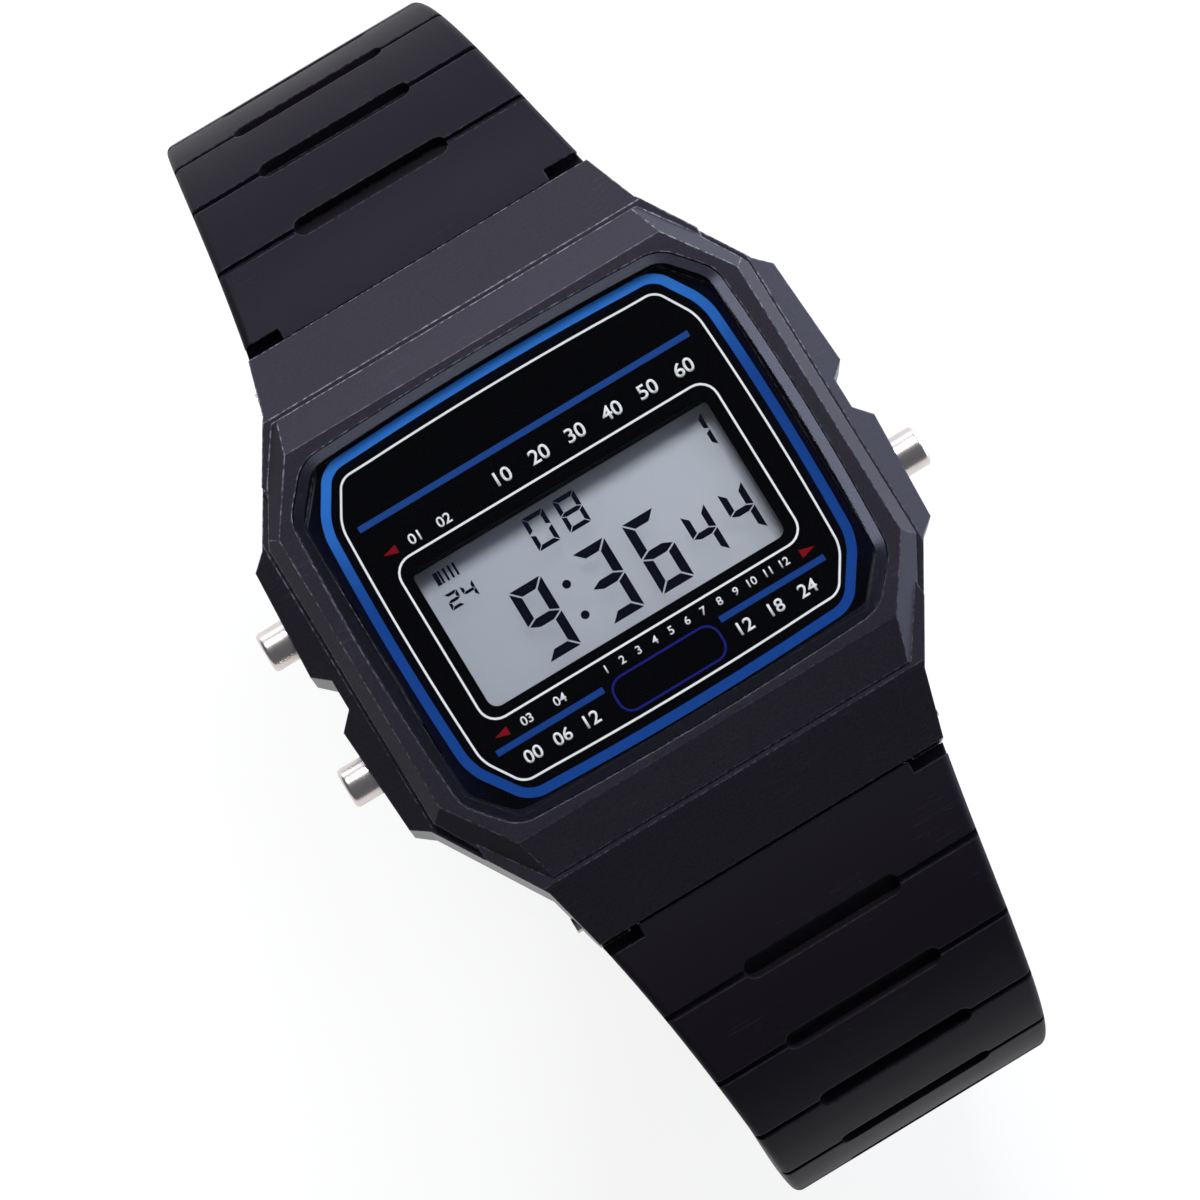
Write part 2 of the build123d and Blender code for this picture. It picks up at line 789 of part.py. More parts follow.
def make_button(side, y):
    """A button with its stem, drawn along +X and turned to its side."""
    floor_x = bay_half_x + button_bore_floor
    end_x = guard_x + button_proud
    inner_x = floor_x + spring_room()
    head = rod_x(button_radius, inner_x, end_x, 0, 0)
    end = head.faces().sort_by(Axis.X)[-1]
    head = fillet(end.edges(), button_edge)
    groove = rod_x(button_radius + overrun, seal_x() - seal_wire / 2 - running_gap,
                   seal_x() + seal_wire / 2 + running_gap, 0, 0)
    groove -= rod_x(seal_groove_radius(), inner_x, end_x, 0, 0)
    stem_end = clip_x() - clip_thickness - stem_tail
    solid = head - groove + rod_x(button_stem_radius, stem_end, inner_x, 0, 0)
    cut = rod_x(2 * button_stem_radius, clip_x() - clip_thickness - running_gap,
                clip_x() + running_gap / 2, 0, 0)
    cut -= rod_x(clip_groove_radius, stem_end - overrun, inner_x, 0, 0)
    return button_side(side, y) * (solid - cut)


def button_side(side, y):
    return Pos(0, y, button_z) * Rot(0, 0, 0 if side > 0 else 180)


def spring_room():
    return button_travel + button_spring_wire * (button_spring_turns + 1)


def seal_x():
    return guard_x + button_proud - seal_setback


def seal_groove_radius():
    return button_radius + button_bore_gap - seal_wire - running_gap


def clip_x():
    return bay_half_x - running_gap


def make_button_spring(side, y):
    floor_x = bay_half_x + button_bore_floor
    radius = (button_stem_radius + button_radius) / 2
    place = button_side(side, y) * Pos(floor_x + running_gap / 2, 0, 0) * Rot(0, 90, 0)
    height = spring_room() - running_gap
    return helix_spring(button_spring_wire, radius, height, button_spring_turns, place)


def make_button_seal(side, y):
    radius = button_radius + button_bore_gap - seal_wire / 2 - running_gap / 2
    ring = Torus(radius, seal_wire / 2)
    return button_side(side, y) * Pos(seal_x(), 0, 0) * Rot(0, 90, 0) * ring


def make_button_clip(side, y):
    clip = rod_x(clip_radius, clip_x() - clip_thickness, clip_x(), 0, 0)
    clip -= rod_x(clip_groove_radius + running_gap / 2, 0, guard_x, 0, 0)
    mouth = clip_groove_radius
    clip -= block(0, guard_x, -mouth, mouth, -overrun, 0)
    return button_side(side, y) * clip


# Strap

def path_start():
    return (strap_start_y, strap_start_z, strap_start_slope)


def path_after(state, radius, turn):
    """The point and slope after an arc of the strap's outer face, which bends down and in."""
    y, z, slope = state
    a, b = radians(slope), radians(slope + turn)
    return (y + radius * (sin(b) - sin(a)), z - radius * (cos(a) - cos(b)), slope + turn)


def path_ahead(state, length):
    y, z, slope = state
    return (y + length * cos(radians(slope)), z - length * sin(radians(slope)), slope)


def strap_plane(state, side):
    """A plane across the strap: its X runs to the wrist side, its Y along the watch's X."""
    y, z, slope = state
    ahead = Vector(0, side * cos(radians(slope)), -sin(radians(slope)))
    inward = Vector(0, -side * sin(radians(slope)), -cos(radians(slope)))
    return Plane(origin=(0, side * y, z), x_dir=inward, z_dir=ahead)


def strap_section(state, side, width, thickness):
    shape = RectangleRounded(thickness, width, strap_edge_round)
    return strap_plane(state, side) * Pos(thickness / 2, 0) * shape


def taper(length, total, root, end):
    """A size that falls quickly from its root value and levels out at its end value."""
    last = exp(-total / strap_taper_length)
    share = (exp(-length / strap_taper_length) - last) / (1 - last)
    return end + (root - end) * share


def case_bend(side):
    """The tapered quarter turn of the strap beside the case."""
    turn = 90 - strap_start_slope
    total = case_bend_radius * radians(turn)
    sections = []
    for step in range(bend_sections + 1):
        state = path_after(path_start(), case_bend_radius, turn * step / bend_sections)
        length = total * step / bend_sections
        width = taper(length, total, strap_root_width, strap_width)
        thickness = taper(length, total, strap_root_thickness, strap_thickness)
        sections.append(strap_section(state, side, width, thickness))
    return loft(sections)


def strap_arc(state, side, radius, turn):
    """A bend of constant section, turned about its centre."""
    y, z, slope = state
    centre_y = y - radius * sin(radians(slope))
    centre_z = z - radius * cos(radians(slope))
    axis = Axis((0, side * centre_y, centre_z), (-side, 0, 0))
    return revolve(strap_section(state, side, strap_width, strap_thickness), axis, turn)


def strap_run(state, side, length):
    return extrude(strap_section(state, side, strap_width, strap_thickness), length)


def groove_cutters(side):
    """The grooves across the outer face, each with a slot that deepens away from the case."""
    cutters = []
    for place in range(groove_count):
        length = groove_first + place * groove_pitch
        turn = length / case_bend_radius * 180 / pi
        plane = strap_plane(path_after(path_start(), case_bend_radius, turn), side)
        line = Box(2 * groove_depth, strap_root_width + overrun, groove_width)
        slot = Plane.YZ * SlotOverall(slot_length, slot_width)
        slot = extrude(slot, 2 * slot_width, both=True)
        floor = Box(2 * slot_depth, slot_length + overrun, 2 * slot_length)
        slot &= Rot(0, slot_slope, 0) * floor
        cutters += [plane * line, plane * slot]
    return cutters


def strap_root(side):
    """The tongue round the spring bar, under the hood, and the neck that joins it."""
    y = side * bar_y
    neck_end = side * (strap_start_y + strap_edge_round)
    low, high = sorted((y, neck_end))
    neck = block(-neck_half_x, neck_half_x, low, high, bar_z - tongue_radius, neck_top())
    return neck + rod_x(tongue_radius, -tongue_half_x, tongue_half_x, y, bar_z)


def neck_top():
    return hood_end_z - hood_end_wall - 2 * seam_gap


def strap_root_cuts(side):
    """The bore for the spring bar's tube, and the two shoulders' ends about the lug, and notches."""
    cuts = [rod_x(bar_tube_radius + running_gap, -guard_x, guard_x, side * bar_y, bar_z)]
    start = side * (bar_y + tongue_radius)
    notch_floor = strap_start_z - strap_notch_floor
    for edge in (1, -1):
        inner, outer = edge * strap_notch_half_x, edge * (strap_root_width + overrun)
        for depth, floor in ((0, bar_z), (strap_notch_depth, notch_floor)):
            low, high = sorted((start, side * (strap_start_y + depth)))
            x0, x1 = sorted((inner, outer))
            cuts.append(block(x0, x1, low, high, floor, hood_end_z + overrun))
        cuts.append(rod_x(bar_inset + strap_seam, edge * tongue_half_x, outer, side * bar_y, bar_z))
    low, high = sorted((start, side * strap_start_y))
    wall_z = hood_end_z - hood_end_wall - strap_seam
    cuts.append(block(-tongue_half_x, tongue_half_x, low, high, wall_z, hood_end_z + overrun))
    return cuts


def buckle_half_states():
    bend_end = path_after(path_start(), case_bend_radius, 90 - strap_start_slope)
    straight_start = path_after(bend_end, buckle_bend_radius, buckle_bend_turn)
    return bend_end, straight_start, path_ahead(straight_start, buckle_straight)


def tail_half_states():
    bend_end = path_after(path_start(), case_bend_radius, 90 - strap_start_slope)
    middle_turn = tail_middle_length / tail_middle_radius * 180 / pi
    middle_end = path_after(bend_end, tail_middle_radius, middle_turn)
    straight_start = path_after(middle_end, tail_bend_radius, 90 - middle_turn)
    return bend_end, middle_end, straight_start


def buckle_frame_plane():
    """A plane at the buckle pin: X along the watch's X, Y ahead, Z out of the strap."""
    state = buckle_half_states()[2]
    end = strap_plane(state, 1)
    origin = end.origin + end.x_dir * (strap_thickness / 2)
    return Plane(origin=origin, x_dir=(1, 0, 0), z_dir=-end.x_dir)


def make_buckle_half():
    bend_end, straight_start = buckle_half_states()[:2]
    solid = case_bend(1) + strap_root(1)
    solid += strap_arc(bend_end, 1, buckle_bend_radius, buckle_bend_turn)
    solid += strap_run(straight_start, 1, buckle_straight)
    solid -= groove_cutters(1)
    solid -= strap_root_cuts(1)
    pin_plane = buckle_frame_plane()
    # The end turns round the pin and is slit for the prong
    barrel = rod_x(strap_thickness / 2, -strap_width / 2, strap_width / 2, 0, 0)
    solid += pin_plane * barrel
    bore = rod_x(buckle_pin_radius + running_gap, -strap_width, strap_width, 0, 0)
    solid -= pin_plane * bore
    slit_half = prong_width / 2 + prong_slot_gap
    slit_back = buckle_barrel_radius + 2 * prong_slot_gap
    slit = block(-slit_half, slit_half, -slit_back, overrun, -strap_thickness, strap_thickness)
    return solid - pin_plane * slit


def make_tail_half():
    bend_end, middle_end, straight_start = tail_half_states()
    middle_turn = tail_middle_length / tail_middle_radius * 180 / pi
    solid = case_bend(-1) + strap_root(-1)
    solid += strap_arc(bend_end, -1, tail_middle_radius, middle_turn)
    solid += strap_arc(middle_end, -1, tail_bend_radius, 90 - middle_turn)
    tail = strap_run(straight_start, -1, tail_straight)
    y, z = straight_start[:2]
    tip_y = tail_straight - y
    outline = Rectangle(strap_width + overrun, 2 * tail_straight)
    tip = fillet(Rectangle(strap_width, 2 * tail_straight).vertices(), tail_tip_round)
    corner_cut = extrude(outline - tip, 2 * strap_thickness)
    tail -= Pos(0, tip_y - tail_straight, z - strap_thickness / 2) * corner_cut
    solid += tail
    solid -= groove_cutters(-1)
    solid -= strap_root_cuts(-1)
    for place in range(hole_count):
        solid -= tail_hole(hole_from_tip + place * hole_pitch)
    return solid


def tail_hole(from_tip):
    """A hole for the prong, square to the strap, at its distance from the tail's tip."""
    bend_end, middle_end, straight_start = tail_half_states()
    middle_turn = tail_middle_length / tail_middle_radius * 180 / pi
    bend_turn = 90 - middle_turn
    bend_length = tail_bend_radius * radians(bend_turn)
    if from_tip < tail_straight:
        state = path_ahead(straight_start, tail_straight - from_tip)
    elif from_tip < tail_straight + bend_length:
        turn = (tail_straight + bend_length - from_tip) / tail_bend_radius * 180 / pi
        state = path_after(middle_end, tail_bend_radius, turn)
    else:
        length = tail_straight + bend_length + tail_middle_length - from_tip
        turn = length / tail_middle_radius * 180 / pi
        state = path_after(bend_end, tail_middle_radius, turn)
    hole = Rot(0, 90, 0) * Cylinder(hole_radius, 4 * strap_thickness)
    return strap_plane(state, -1) * hole


# Spring bars

def make_bar_tube(side):
    y = side * bar_y
    solid = rod_x(bar_tube_radius, -bar_tube_half, bar_tube_half, y, bar_z)
    bore_half = bar_tube_half - bar_mouth_length
    solid -= rod_x(bar_tube_bore, -bore_half, bore_half, y, bar_z)
    solid -= rod_x(bar_rod_radius + running_gap, -guard_x, guard_x, y, bar_z)
    return solid


def bar_piston_end():
    return bar_tube_half - bar_mouth_length - running_gap


def bar_hole_end():
    """Half the width of the case at the spring bar."""
    share = bar_inset / hood_shoulder_back
    return hood_end_half_x + (hood_shoulder_half_x - hood_end_half_x) * share


def make_plunger(side, end):
    y = side * bar_y
    piston = bar_piston_end()
    tip = bar_hole_end() + bar_tip_proud
    solid = rod_x(bar_tube_bore - running_gap, piston - bar_piston_length, piston, y, bar_z)
    solid += rod_x(bar_rod_radius, piston, tip, y, bar_z)
    return solid if end > 0 else mirror(solid, about=Plane.YZ)


def make_bar_spring(side):
    half = bar_piston_end() - bar_piston_length - running_gap
    radius = bar_tube_bore - running_gap - bar_spring_wire / 2
    place = Pos(-half, side * bar_y, bar_z) * Rot(0, 90, 0)
    return helix_spring(bar_spring_wire, radius, 2 * half, bar_spring_turns, place)


# Buckle and keeper

def make_buckle_frame():
    half_x = strap_width / 2 + buckle_gap + buckle_arm
    inner_x = strap_width / 2 + buckle_gap
    window_start = buckle_barrel_radius + buckle_gap
    end = window_start + buckle_window + buckle_bar - buckle_barrel_radius
    outline = Pos(0, (end - buckle_back) / 2) * Rectangle(2 * half_x, end + buckle_back)
    outline = fillet(outline.vertices(), buckle_back)
    window = block(
        -inner_x, inner_x, -buckle_back - overrun, end - buckle_bar,
        -overrun, overrun,
    )
    frame = Pos(0, 0, -buckle_half_thickness) * extrude(outline, 2 * buckle_half_thickness)
    rim = frame.faces().sort_by(Axis.Z)
    frame = fillet(rim[0].edges() + rim[-1].edges(), buckle_half_thickness / 3)
    frame -= window
    notch_half = prong_width / 2 + prong_slot_gap
    notch_floor = prong_low() - prong_notch_gap
    frame -= block(-notch_half, notch_half, 0, end + overrun, notch_floor, overrun)
    frame -= rod_x(buckle_pin_radius + running_gap / 2, -pin_half(), pin_half(), 0, 0)
    return buckle_frame_plane() * frame


def pin_half():
    return strap_width / 2 + buckle_gap + buckle_arm / 2


def prong_low():
    return buckle_barrel_radius - prong_thickness


def make_prong():
    window_start = buckle_barrel_radius + buckle_gap
    end = window_start + buckle_window + buckle_bar - buckle_barrel_radius
    half = prong_width / 2
    eye = rod_x(buckle_barrel_radius, -half, half, 0, 0)
    shaft = block(-half, half, 0, end - prong_notch_gap, prong_low(), buckle_barrel_radius)
    tip = shaft.edges().filter_by(Axis.Z).sort_by(Axis.Y)[-2:]
    shaft = fillet(tip, half * prong_tip_share)
    prong = eye + shaft
    prong -= rod_x(buckle_pin_radius + running_gap, -prong_width, prong_width, 0, 0)
    return buckle_frame_plane() * prong


def make_buckle_pin():
    half = pin_half() - running_gap
    return buckle_frame_plane() * rod_x(buckle_pin_radius, -half, half, 0, 0)


def make_keeper():
    """The loop round the straight end of the short half, with room for the tail outside it."""
    inner_half = strap_width / 2 + keeper_gap
    height = 2 * strap_thickness + 3 * keeper_gap
    state = path_ahead(buckle_half_states()[1], buckle_straight - keeper_place)
    ring = Rectangle(height + 2 * keeper_wall, 2 * (inner_half + keeper_wall))
    ring = fillet(ring.vertices(), keeper_wall)
    ring -= Rectangle(height, 2 * inner_half)
    middle = strap_thickness + keeper_gap - height / 2
    solid = extrude(Pos(middle, 0) * ring, keeper_length)
    return strap_plane(state, 1) * solid


nodes = {
    "case_body": make_case(),
    "crystal": make_crystal(),
    "crystal_gasket": make_crystal_gasket(),
    "dial_panel": make_dial_panel(),
    "lcd_front_polarizer": display_sheet(
        glass_half_x - zebra_from_edge, glass_half_y - zebra_from_edge,
        glass_top + film_gap, glass_top + film_gap + polarizer_thickness,
    ),
    "lcd_segments": make_segments(),
    "lcd_cell": display_sheet(glass_half_x, glass_half_y, glass_bottom, glass_top),
    "lcd_reflector": make_reflector(),
    "light_guide": make_light_guide(),
    "light_lamp": make_lamp(),
    "zebra_connectors": make_zebras(),
    "module_frame": make_frame(),
    "circuit_board": make_board(),
    "chip_cover": make_chip_cover(),
    "quartz_crystal": make_quartz(),
    "side_contacts": make_side_contacts(),
    "module_screws": make_module_screws(),
    "battery": make_battery(),
    "battery_contact": make_battery_contact(),
    "battery_clamp": make_battery_clamp(),
    "insulator_sheet": make_insulator(),
    "buzzer_spring": make_buzzer_spring(),
    "piezo_buzzer": make_piezo(),
    "case_back": make_case_back(),
    "case_back_gasket": back_gasket_ring(0, back_gasket_height),
    "case_back_screws": make_back_screws(),
    "strap_buckle_half": make_buckle_half(),
    "strap_tail_half": make_tail_half(),
    "buckle_frame": make_buckle_frame(),
    "buckle_prong": make_prong(),
    "buckle_pin": make_buckle_pin(),
    "keeper_loop": make_keeper(),
}
for button_name, (side, y) in zip(("light", "mode", "alarm"), button_places()):
    nodes[button_name + "_button"] = make_button(side, y)
    nodes[button_name + "_button_spring"] = make_button_spring(side, y)
    nodes[button_name + "_button_seal"] = make_button_seal(side, y)
    nodes[button_name + "_button_clip"] = make_button_clip(side, y)
for half_name, side in (("12", 1), ("6", -1)):
    nodes["spring_bar_tube_" + half_name] = make_bar_tube(side)
    nodes["spring_bar_spring_" + half_name] = make_bar_spring(side)
    nodes["spring_bar_plunger_right_" + half_name] = make_plunger(side, 1)
    nodes["spring_bar_plunger_left_" + half_name] = make_plunger(side, -1)

# The tail's outer face lies on the ground
stand_height = -tail_half_states()[2][1]
os.makedirs("parts", exist_ok=True)
for name, shape in nodes.items():
    export_step(Pos(0, 0, stand_height) * shape, "parts/" + name + ".step")
print("stand height", round(stand_height, 3))
print("spring bars at y", round(bar_y, 3), "z", round(bar_z + stand_height, 3))
pin_place = buckle_frame_plane().origin
print("buckle pin at y", round(pin_place.Y, 3), "z", round(pin_place.Z + stand_height, 3))
print("strap straight runs at", buckle_half_states()[1][2], "degrees")
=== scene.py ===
import bmesh
import bpy
from math import cos, radians, sin
from mathutils import Matrix, Vector


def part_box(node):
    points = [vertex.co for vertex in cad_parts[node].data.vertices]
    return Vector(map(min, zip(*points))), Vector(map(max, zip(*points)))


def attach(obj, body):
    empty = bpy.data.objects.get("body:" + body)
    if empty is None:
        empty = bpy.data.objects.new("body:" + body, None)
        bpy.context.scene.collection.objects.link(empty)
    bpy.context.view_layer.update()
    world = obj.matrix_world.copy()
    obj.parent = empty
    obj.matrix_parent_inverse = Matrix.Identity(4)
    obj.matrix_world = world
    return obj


# A resin digital watch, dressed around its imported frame
# Lengths are metres; mm turns millimetres into them.
# +X points to 3 o'clock, +Y to 12 o'clock, +Z out of the crystal.

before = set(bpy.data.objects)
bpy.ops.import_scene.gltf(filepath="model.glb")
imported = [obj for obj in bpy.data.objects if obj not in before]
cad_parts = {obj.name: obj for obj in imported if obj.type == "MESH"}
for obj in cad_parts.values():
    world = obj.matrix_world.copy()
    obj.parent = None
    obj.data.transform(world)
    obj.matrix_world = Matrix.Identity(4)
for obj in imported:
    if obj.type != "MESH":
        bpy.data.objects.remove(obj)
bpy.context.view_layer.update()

mm = 0.001
micron = 0.000001

crystal_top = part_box("crystal")[1].z
crystal_bevel_height = 0.36 * mm
bezel_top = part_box("case_body")[1].z


def rgb(red, green, blue):
    """A shader colour from the three numbers of a screen colour."""
    shares = [value / 255 for value in (red, green, blue)]
    linear = [s / 12.92 if s < 0.04045 else ((s + 0.055) / 1.055) ** 2.4 for s in shares]
    return (*linear, 1.0)


# Shader nodes

bevel_samples = 6
ridge_share = 0.012
patch_fade = 0.1
# A softened normal leaves the true one by this much where an edge starts, and where it is full
edge_turn = (0.001, 0.03)


class Wire:
    """The output of a shader node, for use in Python sums."""

    def __init__(self, shader, socket):
        self.shader = shader
        self.socket = socket

    def __add__(self, other):
        return self.shader.sum("ADD", self, other)

    __radd__ = __add__

    def __sub__(self, other):
        return self.shader.sum("SUBTRACT", self, other)

    def __rsub__(self, other):
        return self.shader.sum("SUBTRACT", other, self)

    def __mul__(self, other):
        return self.shader.sum("MULTIPLY", self, other)

    __rmul__ = __mul__

    def __abs__(self):
        return self.shader.sum("ABSOLUTE", self)


class Shader:
    """The nodes of one finish, or of the surroundings."""

    def __init__(self, tree):
        self.tree = tree
        self.tree.nodes.clear()
        self.place = self.node("ShaderNodeTexCoord", output="Object")

    def node(self, kind, settings=None, sockets=None, output=0):
        """A node from its type, its settings, and the values or links of its sockets."""
        node = self.tree.nodes.new(kind)
        for name, value in (settings or {}).items():
            setattr(node, name, value)
        for name, value in (sockets or {}).items():
            if isinstance(value, Wire):
                self.tree.links.new(value.socket, node.inputs[name])
            else:
                node.inputs[name].default_value = value
        return Wire(self, node.outputs[output]) if len(node.outputs) else node

    def sum(self, operation, *values):
        return self.node("ShaderNodeMath", {"operation": operation}, dict(enumerate(values)))

    def band(self, value, low, high):
        """0 below the low value and 1 above the high one, with a soft step between."""
        sockets = {"Value": value, "From Min": low, "From Max": high}
        return self.node("ShaderNodeMapRange", {"interpolation_type": "SMOOTHSTEP"}, sockets)

    def blend(self, share, first, second):
        """A colour between two others."""
        settings = {"data_type": "RGBA"}
        return self.node("ShaderNodeMix", settings, {0: share, 6: first, 7: second}, output=2)

    def across(self, axis):
        """One coordinate of the place on the piece, in metres."""
        return self.node("ShaderNodeSeparateXYZ", sockets={"Vector": self.place}, output=axis)

    def mapped(self, size, stretch=(1, 1, 1), turn=(0, 0, 0)):
        """Places scaled so that a pattern repeats about once in the size given."""
        scale = tuple(share / size for share in stretch)
        sockets = {"Vector": self.place, "Scale": scale, "Rotation": turn}
        return self.node("ShaderNodeMapping", sockets=sockets)

    def grain(self, size, detail=2.0, stretch=(1, 1, 1), turn=(0, 0, 0)):
        sockets = {"Vector": self.mapped(size, stretch, turn), "Scale": 1.0, "Detail": detail}
        return self.node("ShaderNodeTexNoise", sockets=sockets)

    def scratches(self, length, width, amount, turn=(0, 0, 0)):
        """Thin straight marks, as the ridges of a stretched noise."""
        stretch = (width / length, 1, width / length)
        ridges = abs(self.grain(width, 0.0, stretch, turn) - 0.5)
        lines = 1 - self.band(ridges, 0.0, ridge_share)
        patches = self.grain(length, 1.0)
        return lines * self.band(patches, 1 - amount, 1 - amount + patch_fade)

    def rounded(self, radius):
        """The surface's normal with its edges softened."""
        return self.node("ShaderNodeBevel", {"samples": bevel_samples}, {"Radius": radius})

    def edges(self, radius):
        """1 along a sharp edge, fading to 0 within the radius."""
        true = self.node("ShaderNodeNewGeometry", output="Normal")
        settings = {"operation": "DOT_PRODUCT"}
        sockets = {0: self.rounded(radius), 1: true}
        alike = self.node("ShaderNodeVectorMath", settings, sockets, "Value")
        return self.band(1 - alike, *edge_turn)

    def bump(self, height, depth, normal=None):
        """A normal from a height of 0 to 1, that is the depth given in metres."""
        sockets = {"Height": height, "Distance": depth}
        if normal:
            sockets["Normal"] = normal
        return self.node("ShaderNodeBump", sockets=sockets)

    def coat(self, colour, roughness, metallic=0.0, normal=None, fixed=None):
        sockets = {"Base Color": colour, "Roughness": roughness, "Metallic": metallic}
        if normal:
            sockets["Normal"] = normal
        sockets.update(fixed or {})
        return self.node("ShaderNodeBsdfPrincipled", sockets=sockets)

    def over(self, share, under, upper):
        return self.node("ShaderNodeMixShader", sockets={0: share, 1: under, 2: upper})


def new_finish(name):
    material = bpy.data.materials.new(name)
    material.use_nodes = True
    return material, Shader(material.node_tree)


def finished(material, shader, surface):
    shader.node("ShaderNodeOutputMaterial", sockets={"Surface": surface})
    return material


# Finishes

dust_grey = rgb(120, 120, 130)
no_gloss = {"Specular IOR Level": 0.0}


def darker(colour, share):
    """A colour with only a share of its brightness."""
    return [share * channel for channel in colour[:3]] + [1.0]


def watch_resin(name, colour, worn_and_lit_edge, roughness, gloss, edge_radius):
    """Black resin with a fine moulded grain, paler along its edges: partly worn, partly a
    painted highlight, which is strongest towards 12 o'clock, where the light falls.

    The paler edges break up into chips, and two runs of fine scratches cross the faces.
    """
    material, shader = new_finish(name)
    edges = shader.edges(edge_radius)
    broad = shader.grain(9 * mm, 3.0)
    speckle = shader.grain(0.12 * mm, 2.0)
    marks = shader.scratches(6 * mm, 0.12 * mm, 0.42, (0, 0, 0.4))
    marks = marks + shader.scratches(5 * mm, 0.1 * mm, 0.4, (0, 0, -0.9))
    chips = shader.band(shader.grain(0.3 * mm, 4.0), 0.42, 0.62)
    # Painted highlight: the paler edges grow towards 12 o'clock, where the light falls
    lit_side_share = 0.25 + 0.75 * shader.band(shader.across("Y"), -6 * mm, 14 * mm)
    wear_and_highlight = edges * lit_side_share * (0.14 + 0.86 * chips)
    base = shader.blend(wear_and_highlight + 0.05 * speckle, colour, worn_and_lit_edge)
    base = shader.blend(0.1 * marks, base, dust_grey)
    rough = roughness + 0.10 * (broad - 0.5) + 0.05 * (speckle - 0.5) - 0.06 * edges
    height = 0.6 * speckle + 0.4 * shader.grain(0.05 * mm, 1.0) - 0.35 * marks
    normal = shader.bump(height, 5 * micron, shader.rounded(edge_radius))
    fixed = {"Specular IOR Level": gloss, "Specular Tint": (0.76, 0.74, 1.0, 1.0)}
    return finished(material, shader, shader.coat(base, rough, 0.0, normal, fixed))


def moulded(name, colour, roughness, gloss=0.5):
    """Plain moulded plastic or rubber."""
    material, shader = new_finish(name)
    broad = shader.grain(6 * mm, 3.0)
    speckle = shader.grain(0.15 * mm, 2.0)
    base = shader.blend(0.35 * broad + 0.25 * speckle, colour, darker(colour, 0.72))
    rough = roughness + 0.12 * (broad - 0.5)
    normal = shader.bump(speckle, 4 * micron)
    fixed = {"Specular IOR Level": gloss}
    return finished(material, shader, shader.coat(base, rough, 0.0, normal, fixed))


def brushed(name, colour, roughness, stretch=(1, 0.02, 1)):
    """Metal with fine parallel brush lines, along its least stretch, and faint stains."""
    material, shader = new_finish(name)
    lines = shader.grain(0.06 * mm, 2.0, stretch)
    broad = shader.grain(5 * mm, 3.0)
    marks = shader.scratches(4 * mm, 0.08 * mm, 0.4, (0, 0, 1.1))
    base = shader.blend(0.3 * lines + 0.25 * broad, colour, darker(colour, 0.6))
    rough = roughness + 0.16 * (lines - 0.5) + 0.12 * (broad - 0.5) + 0.1 * marks
    normal = shader.bump(lines - 0.5 * marks, 2 * micron)
    return finished(material, shader, shader.coat(base, rough, 1.0, normal))


def clear_sheet(name, tint, gloss_index, roughness):
    """A clear sheet that lets light straight through, with a gloss that grows at a slant."""
    material, shader = new_finish(name)
    smear = shader.grain(7 * mm, 3.0)
    through = shader.node("ShaderNodeBsdfTransparent", sockets={"Color": tint})
    shine = shader.coat(rgb(250, 250, 250), roughness + 0.03 * smear, 1.0)
    share = shader.node("ShaderNodeFresnel", sockets={"IOR": gloss_index})
    return finished(material, shader, shader.over(share, through, shine))


def crystal_acrylic():
    """Clear acrylic, whose ground bevel is satin and dark, and lets light pass to the dial."""
    material, shader = new_finish("crystal_acrylic")
    height = shader.across("Z")
    bevel_foot = crystal_top - crystal_bevel_height
    rim = shader.band(height, bevel_foot, bevel_foot + 0.03 * mm)
    rim = rim * (1 - shader.band(height, crystal_top - 0.05 * mm, crystal_top - 0.005 * mm))
    lit = 1 - 0.9 * shader.node("ShaderNodeLightPath", output="Is Shadow Ray")
    smear = shader.grain(7 * mm, 3.0)
    through = shader.node("ShaderNodeBsdfTransparent", sockets={"Color": rgb(253, 254, 255)})
    shine = shader.coat(rgb(250, 250, 250), 0.04 + 0.03 * smear, 1.0)
    share = shader.node("ShaderNodeFresnel", sockets={"IOR": 1.2})
    clear = shader.over(share, through, shine)
    grit = shader.grain(0.1 * mm, 2.0)
    chips = shader.band(shader.grain(0.35 * mm, 4.0), 0.58, 0.68)
    base = shader.blend(0.05 * chips, rgb(9, 9, 20), rgb(110, 110, 128))
    normal = shader.bump(grit, 0.5 * micron)
    glossy = {"Specular IOR Level": 1.0, "Specular Tint": (0.8, 0.82, 1.0, 1.0)}
    ground = shader.coat(base, 0.2 + 0.12 * grit, 0.0, normal, glossy)
    return finished(material, shader, shader.over(0.8 * rim * lit, clear, ground))


def panel_print():
    """The black back print of the dial, turning navy towards its border: a painted glow around
    the blue ring.
    """
    material, shader = new_finish("panel_black")
    side = shader.band(abs(shader.across("X")), 11.0 * mm, 13.4 * mm)
    end = shader.band(abs(shader.across("Y")), 9.8 * mm, 12.0 * mm)
    border = shader.sum("MAXIMUM", side, end)
    dust = shader.band(shader.grain(0.2 * mm, 1.0), 0.72, 0.8)
    # Painted glow: navy towards the border, around the blue ring
    base = shader.blend(border, rgb(2, 2, 4), rgb(8, 11, 34))
    base = shader.blend(0.005 * dust, base, dust_grey)
    rough = 0.28 + 0.06 * shader.grain(3 * mm, 2.0)
    return finished(material, shader, shader.coat(base, rough, fixed=no_gloss))


def blue_print(name, bright, deep):
    """Blue ink with a painted highlight: brighter towards 12 o'clock, where the light falls.
    """
    material, shader = new_finish(name)
    painted_light_run = shader.across("Y") + 3 * mm * (shader.grain(2 * mm, 2.0) - 0.5)
    # Painted highlight, growing towards 12 o'clock
    share = shader.band(painted_light_run, 2 * mm, 12 * mm)
    flake = shader.grain(0.06 * mm, 1.0)
    base = shader.blend(share, deep, bright)
    base = shader.blend(0.08 * flake, base, rgb(90, 150, 226))
    normal = shader.bump(flake, 1.5 * micron)
    ink = shader.coat(base, 0.4 + 0.1 * flake, 0.0, normal, no_gloss)
    return finished(material, shader, ink)


